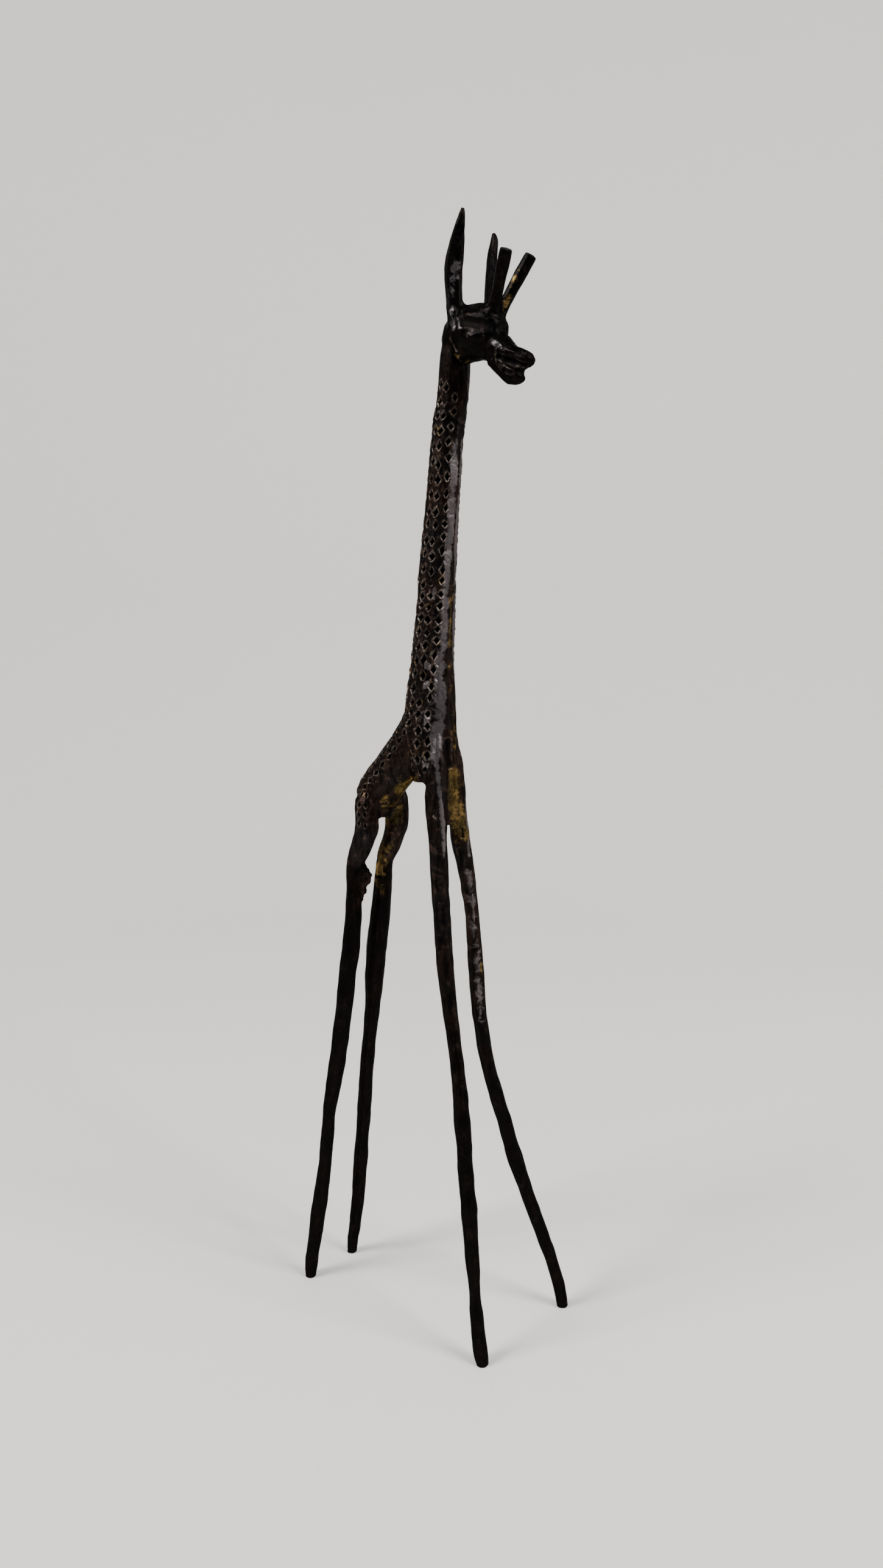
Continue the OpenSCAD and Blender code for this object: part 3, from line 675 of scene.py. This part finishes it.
class Tree:
    """A material's nodes, made one by one."""

    def __init__(self, name):
        self.material = bpy.data.materials.new(name)
        self.material.use_nodes = True
        self.nodes, self.links = self.material.node_tree.nodes, self.material.node_tree.links
        self.shader = self.nodes["Principled BSDF"]

    def put(self, socket, value):
        if isinstance(value, bpy.types.NodeSocket):
            self.links.new(value, socket)
        elif value is not None:
            socket.default_value = value

    def layer_value(self, name):
        n = self.nodes.new("ShaderNodeAttribute")
        n.attribute_name = name
        return n.outputs["Fac"]

    def place(self, scale):
        n = self.nodes.new("ShaderNodeTexCoord")
        m = self.nodes.new("ShaderNodeMapping")
        m.inputs["Scale"].default_value = scale
        self.links.new(n.outputs["Object"], m.inputs["Vector"])
        return m.outputs["Vector"]

    def noise(self, size, detail=4.0, rough=0.6, stretch=(1, 1, 1), distort=0.0):
        """size is in mm."""
        n = self.nodes.new("ShaderNodeTexNoise")
        n.inputs["Scale"].default_value = 1000.0 / size
        n.inputs["Detail"].default_value = detail
        n.inputs["Roughness"].default_value = rough
        n.inputs["Distortion"].default_value = distort
        self.links.new(self.place(stretch), n.inputs["Vector"])
        return n.outputs["Fac"]

    def spots(self, size, stretch=(1, 1, 1)):
        n = self.nodes.new("ShaderNodeTexVoronoi")
        n.inputs["Scale"].default_value = 1000.0 / size
        self.links.new(self.place(stretch), n.inputs["Vector"])
        return n.outputs["Distance"]

    def math(self, kind, a, b=None, c=None):
        n = self.nodes.new("ShaderNodeMath")
        n.operation = kind
        n.use_clamp = False
        for k, v in enumerate((a, b, c)):
            self.put(n.inputs[k], v)
        return n.outputs[0]

    def span(self, value, low, high, to_low=0.0, to_high=1.0):
        n = self.nodes.new("ShaderNodeMapRange")
        n.interpolation_type = "SMOOTHSTEP"
        self.put(n.inputs["Value"], value)
        for key, v in (("From Min", low), ("From Max", high), ("To Min", to_low), ("To Max", to_high)):
            self.put(n.inputs[key], v)
        return n.outputs["Result"]

    def mix(self, share, a, b):
        n = self.nodes.new("ShaderNodeMix")
        n.data_type = "RGBA"
        self.put(n.inputs["Factor"], share)
        self.put(n.inputs["A"], a if isinstance(a, bpy.types.NodeSocket) else (*a, 1))
        self.put(n.inputs["B"], b if isinstance(b, bpy.types.NodeSocket) else (*b, 1))
        return n.outputs["Result"]

    def blend(self, share, a, b):
        n = self.nodes.new("ShaderNodeMix")
        n.data_type = "FLOAT"
        for key, v in (("Factor", share), ("A", a), ("B", b)):
            self.put(n.inputs[key], v)
        return n.outputs["Result"]

    def bump(self, height, distance, strength=1.0, before=None):
        """distance is in mm."""
        n = self.nodes.new("ShaderNodeBump")
        n.inputs["Strength"].default_value = strength
        n.inputs["Distance"].default_value = distance * MM
        self.put(n.inputs["Height"], height)
        if before is not None:
            self.links.new(before, n.inputs["Normal"])
        return n.outputs["Normal"]


def patina(name, film, brown, ridge_highlight):
    """Dark patinated bronze: its film's reflectance, where it is browner, the painted highlight on raised ridges, and
    painted sheen and shade.
    """
    t = Tree(name)
    brass_and_reflection, painted_hollow_shade, painted_highlight, fine, painted_shade = (t.layer_value(k) for k in ("brass_and_reflection", "painted_hollow_shade", "painted_highlight", "fine", "painted_shade"))
    drift = t.noise(9.0, 3.0, 0.55)
    cloud = t.noise(2.6, 5.0, 0.62, distort=0.6)
    speck = t.noise(0.7, 4.0, 0.7)
    streak = t.noise(1.3, 4.0, 0.6, stretch=(1, 1, 0.22))
    colour = t.mix(t.span(drift, 0.36, 0.66), film, brown)
    colour = t.mix(t.span(cloud, 0.52, 0.68, 0.0, 0.7), colour, tuple(3.4 * c for c in brown))
    colour = t.mix(t.span(streak, 0.40, 0.62, 0.0, 0.8), colour, tuple(0.3 * c for c in film))
    # painted shade: the film darkened on the head, ears, horns, rear legs, trunk, top of the neck and lower legs
    colour = t.mix(t.math("MULTIPLY", painted_shade, 0.85), colour, tuple(0.22 * c for c in film))
    wander = t.math("ADD", t.math("SUBTRACT", cloud, 0.5), t.math("MULTIPLY", t.math("SUBTRACT", speck, 0.5), 0.9))
    patch = t.math("ADD", t.math("MULTIPLY", t.math("SUBTRACT", cloud, 0.5), 1.5),
                   t.math("MULTIPLY", t.math("SUBTRACT", speck, 0.5), 0.3))
    # painted sheen: a pale lavender-grey reflection where the painted highlight layer is high, and in patches drawn by
    # noise
    painted_sheen = t.span(t.math("ADD", painted_highlight, patch), 0.36, 0.68, 0.0, 0.9)
    colour = t.mix(painted_sheen, colour, (0.135, 0.117, 0.121))
    # painted highlight on raised ridges, and below it a painted golden glint on the highest
    edge = t.math("MULTIPLY", t.span(fine, 0.02, 0.15), t.span(speck, 0.38, 0.62, 0.05, 0.9))
    edge = t.math("MULTIPLY", edge, t.span(t.noise(3.0, 3.0, 0.6), 0.36, 0.60, 0.3, 1.0))
    colour = t.mix(edge, colour, ridge_highlight)
    glint = t.math("MULTIPLY", t.span(fine, 0.05, 0.14), t.span(t.noise(3.4, 3.0, 0.6), 0.58, 0.70, 0.0, 0.5))
    colour = t.mix(glint, colour, (0.17, 0.105, 0.04))
    metal = t.mix(t.span(cloud, 0.36, 0.62), (0.060, 0.040, 0.014), (0.21, 0.135, 0.048))
    metal = t.mix(t.span(t.noise(5.0, 3.0), 0.42, 0.60, 0.0, 0.8), metal, (0.058, 0.047, 0.019))
    metal = t.mix(t.span(speck, 0.47, 0.62, 0.0, 0.9), metal, (0.016, 0.011, 0.006))
    # exposed brass, and the painted brown reflection on the neck's front
    bare_and_reflection = t.span(t.math("ADD", brass_and_reflection, t.math("MULTIPLY", wander, 1.5)), 0.40, 0.72)
    colour = t.mix(bare_and_reflection, colour, metal)
    # painted shade: near-black, not metallic and rough, in pits, grooves and holes and where the fine height sinks
    hollow_shade_share = t.math("MAXIMUM", painted_hollow_shade, t.span(fine, -0.03, -0.14))
    colour = t.mix(t.math("MULTIPLY", hollow_shade_share, 0.97), colour, (0.0032, 0.0027, 0.0026))
    t.put(t.shader.inputs["Base Color"], colour)
    t.put(t.shader.inputs["Metallic"], t.blend(hollow_shade_share, t.blend(bare_and_reflection, 0.88, 0.95), 0.0))
    t.shader.inputs["Specular Tint"].default_value = (0.3, 0.3, 0.3, 1)
    rough = t.span(speck, 0.25, 0.75, 0.24, 0.42)
    rough = t.math("ADD", rough, t.math("MULTIPLY", t.span(cloud, 0.35, 0.7), 0.10))
    rough = t.blend(painted_sheen, rough, 0.34)
    rough = t.blend(bare_and_reflection, rough, 0.46)
    rough = t.blend(hollow_shade_share, rough, 0.9)
    t.put(t.shader.inputs["Roughness"], rough)
    t.shader.inputs["Specular IOR Level"].default_value = 0.12
    grit = t.bump(speck, 0.12, 0.7)
    grit = t.bump(t.span(t.spots(1.1), 0.0, 0.26, 0.0, 1.0), 0.05, 0.5, grit)
    grit = t.bump(cloud, 0.25, 0.7, grit)
    t.put(t.shader.inputs["Normal"], grit)
    return t.material


LABEL = tidy_labels(LABEL)
corner = LABEL[QUADS]
counts = np.stack([(corner == corner[:, [k]]).sum(1) for k in range(4)], 1)
FACE = corner[np.arange(len(corner)), counts.argmax(1)]
NORMALS = normals_of(P, QUADS)
# layers for the materials: brass and fine height, plus painted highlights, painted reflection and painted shade
STAINS_AND_PAINTED_LIGHT = {
    "brass_and_reflection": clay.brass_and_reflection, "painted_hollow_shade": clay.painted_hollow_shade, "painted_highlight": clay.painted_highlight, "fine": FINE,
    # painted shade on the head, ears, horns, rear legs, trunk, top of the neck and lower legs
    "painted_shade": np.clip(0.75 * web.blur(HEAD + EARS + HORNS, 20) + 0.75 * web.blur(REAR_LEGS, 20)
                     + 0.3 * part("trunk") + 0.5 * smooth(238, 255, Z) + legs * (1 - smooth(50, 140, Z)), 0, 1),
}

# the three share one film and differ only in their painted ridge highlight, dimmest on the head, ears, horns and rear
# legs
MATERIALS = {
    "bronze": patina("dark_patina", (0.016, 0.0137, 0.0137), (0.025, 0.0155, 0.0120), (0.170, 0.140, 0.118)),
    "dark_bronze": patina("patina_dim_ridge_highlight", (0.016, 0.0137, 0.0137), (0.025, 0.0155, 0.0120), (0.085, 0.068, 0.056)),
    "worn_bronze": patina("worn_patina", (0.016, 0.0137, 0.0137), (0.025, 0.0155, 0.0120), (0.140, 0.110, 0.080)),
}
SLOT = {name: "bronze" for name in NODES}
SLOT.update({n: "dark_bronze" for n in ("skull", "muzzle", "lower_jaw", "right_ear", "left_ear", "right_horn", "left_horn",
                                        "rear_right_leg", "rear_left_leg")})
SLOT.update({n: "worn_bronze" for n in ("chest_web", "casting_fin")})

for k, name in enumerate(NODES):
    piece = build(name + "_casting", np.flatnonzero(FACE == k), NORMALS, STAINS_AND_PAINTED_LIGHT)
    piece.data.materials.append(MATERIALS[SLOT[name]])
    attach(piece, "root")
    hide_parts(name)
    print(piece.name, len(piece.data.polygons), "faces")
bpy.data.objects.remove(skin)

# ---------------------------------------------------------------- camera, floor and light

def plain(name, colour, roughness):
    m = bpy.data.materials.new(name)
    m.use_nodes = True
    s = m.node_tree.nodes["Principled BSDF"]
    s.inputs["Base Color"].default_value = (*colour, 1)
    s.inputs["Roughness"].default_value = roughness
    return m


def sweep(radius, cove, height, facing, open_at, sides=96):
    """A round floor that curves up into a wall behind the animal. facing is the camera's side and open_at
    is how far from it the wall starts, in degrees."""
    profile = [(0.0, 0.0), (radius * 0.5, 0.0)]
    profile += [(radius + cove * math.sin(a), cove * (1 - math.cos(a))) for a in [math.radians(6 * k) for k in range(16)]]
    profile.append((radius + cove, height))
    turns = [math.radians(facing + 360 * k / sides) for k in range(sides)]
    verts = [(r * math.cos(a), r * math.sin(a), z) for r, z in profile for a in turns]
    faces = []
    for i in range(len(profile) - 1):
        for k in range(sides):
            away = 180 - abs(360 * (k + 0.5) / sides - 180)
            if i < 2 or away > open_at:
                a, b = i * sides + k, i * sides + (k + 1) % sides
                faces.append((a, b, b + sides, a + sides))
    mesh = bpy.data.meshes.new("floor")
    mesh.from_pydata(verts, [], faces)
    mesh.validate()
    for f in mesh.polygons:
        f.use_smooth = True
    obj = bpy.data.objects.new("floor", mesh)
    bpy.context.scene.collection.objects.link(obj)
    return obj


floor = sweep(0.42, 0.22, 1.1, -52, 75)
floor.data.materials.append(plain("floor_cloth", (0.78, 0.76, 0.73), 0.9))


def area(name, place, aim, size, power, colour=(1, 1, 1)):
    light = bpy.data.lights.new(name, "AREA")
    light.shape = "RECTANGLE"
    light.size, light.size_y = size
    light.energy = power
    light.color = colour
    obj = bpy.data.objects.new(name, light)
    obj.location = place
    obj.rotation_euler = (Vector(aim) - Vector(place)).to_track_quat("-Z", "Y").to_euler()
    obj.visible_camera = False
    bpy.context.scene.collection.objects.link(obj)
    return obj


area("key", (-0.35, -0.60, 0.85), (0, 0.1, 0.15), (0.4, 0.35), 14.5)
area("fill", (0.70, 0.05, 0.75), (0, 0.1, 0.15), (0.35, 0.35), 9.5)

world = bpy.data.worlds.new("studio")
world.use_nodes = True
world.node_tree.nodes["Background"].inputs["Color"].default_value = (1, 0.985, 0.96, 1)
world.node_tree.nodes["Background"].inputs["Strength"].default_value = 0.13
bpy.context.scene.world = world

camera = bpy.data.objects.new("camera", bpy.data.cameras.new("camera"))
camera.data.lens = 25.41
camera.data.sensor_width = 36
camera.data.clip_start = 0.01
camera.location = (0.1885, -0.2387, 0.195)
camera.rotation_mode = "XYZ"
camera.matrix_world = (
    Matrix.Translation(camera.location)
    @ Matrix.Rotation(math.radians(38), 4, "Z")
    @ Matrix.Rotation(math.radians(90 - 8.058), 4, "X")
    @ Matrix.Rotation(0.003473, 4, "Z")
)
bpy.context.scene.collection.objects.link(camera)
bpy.context.scene.camera = camera
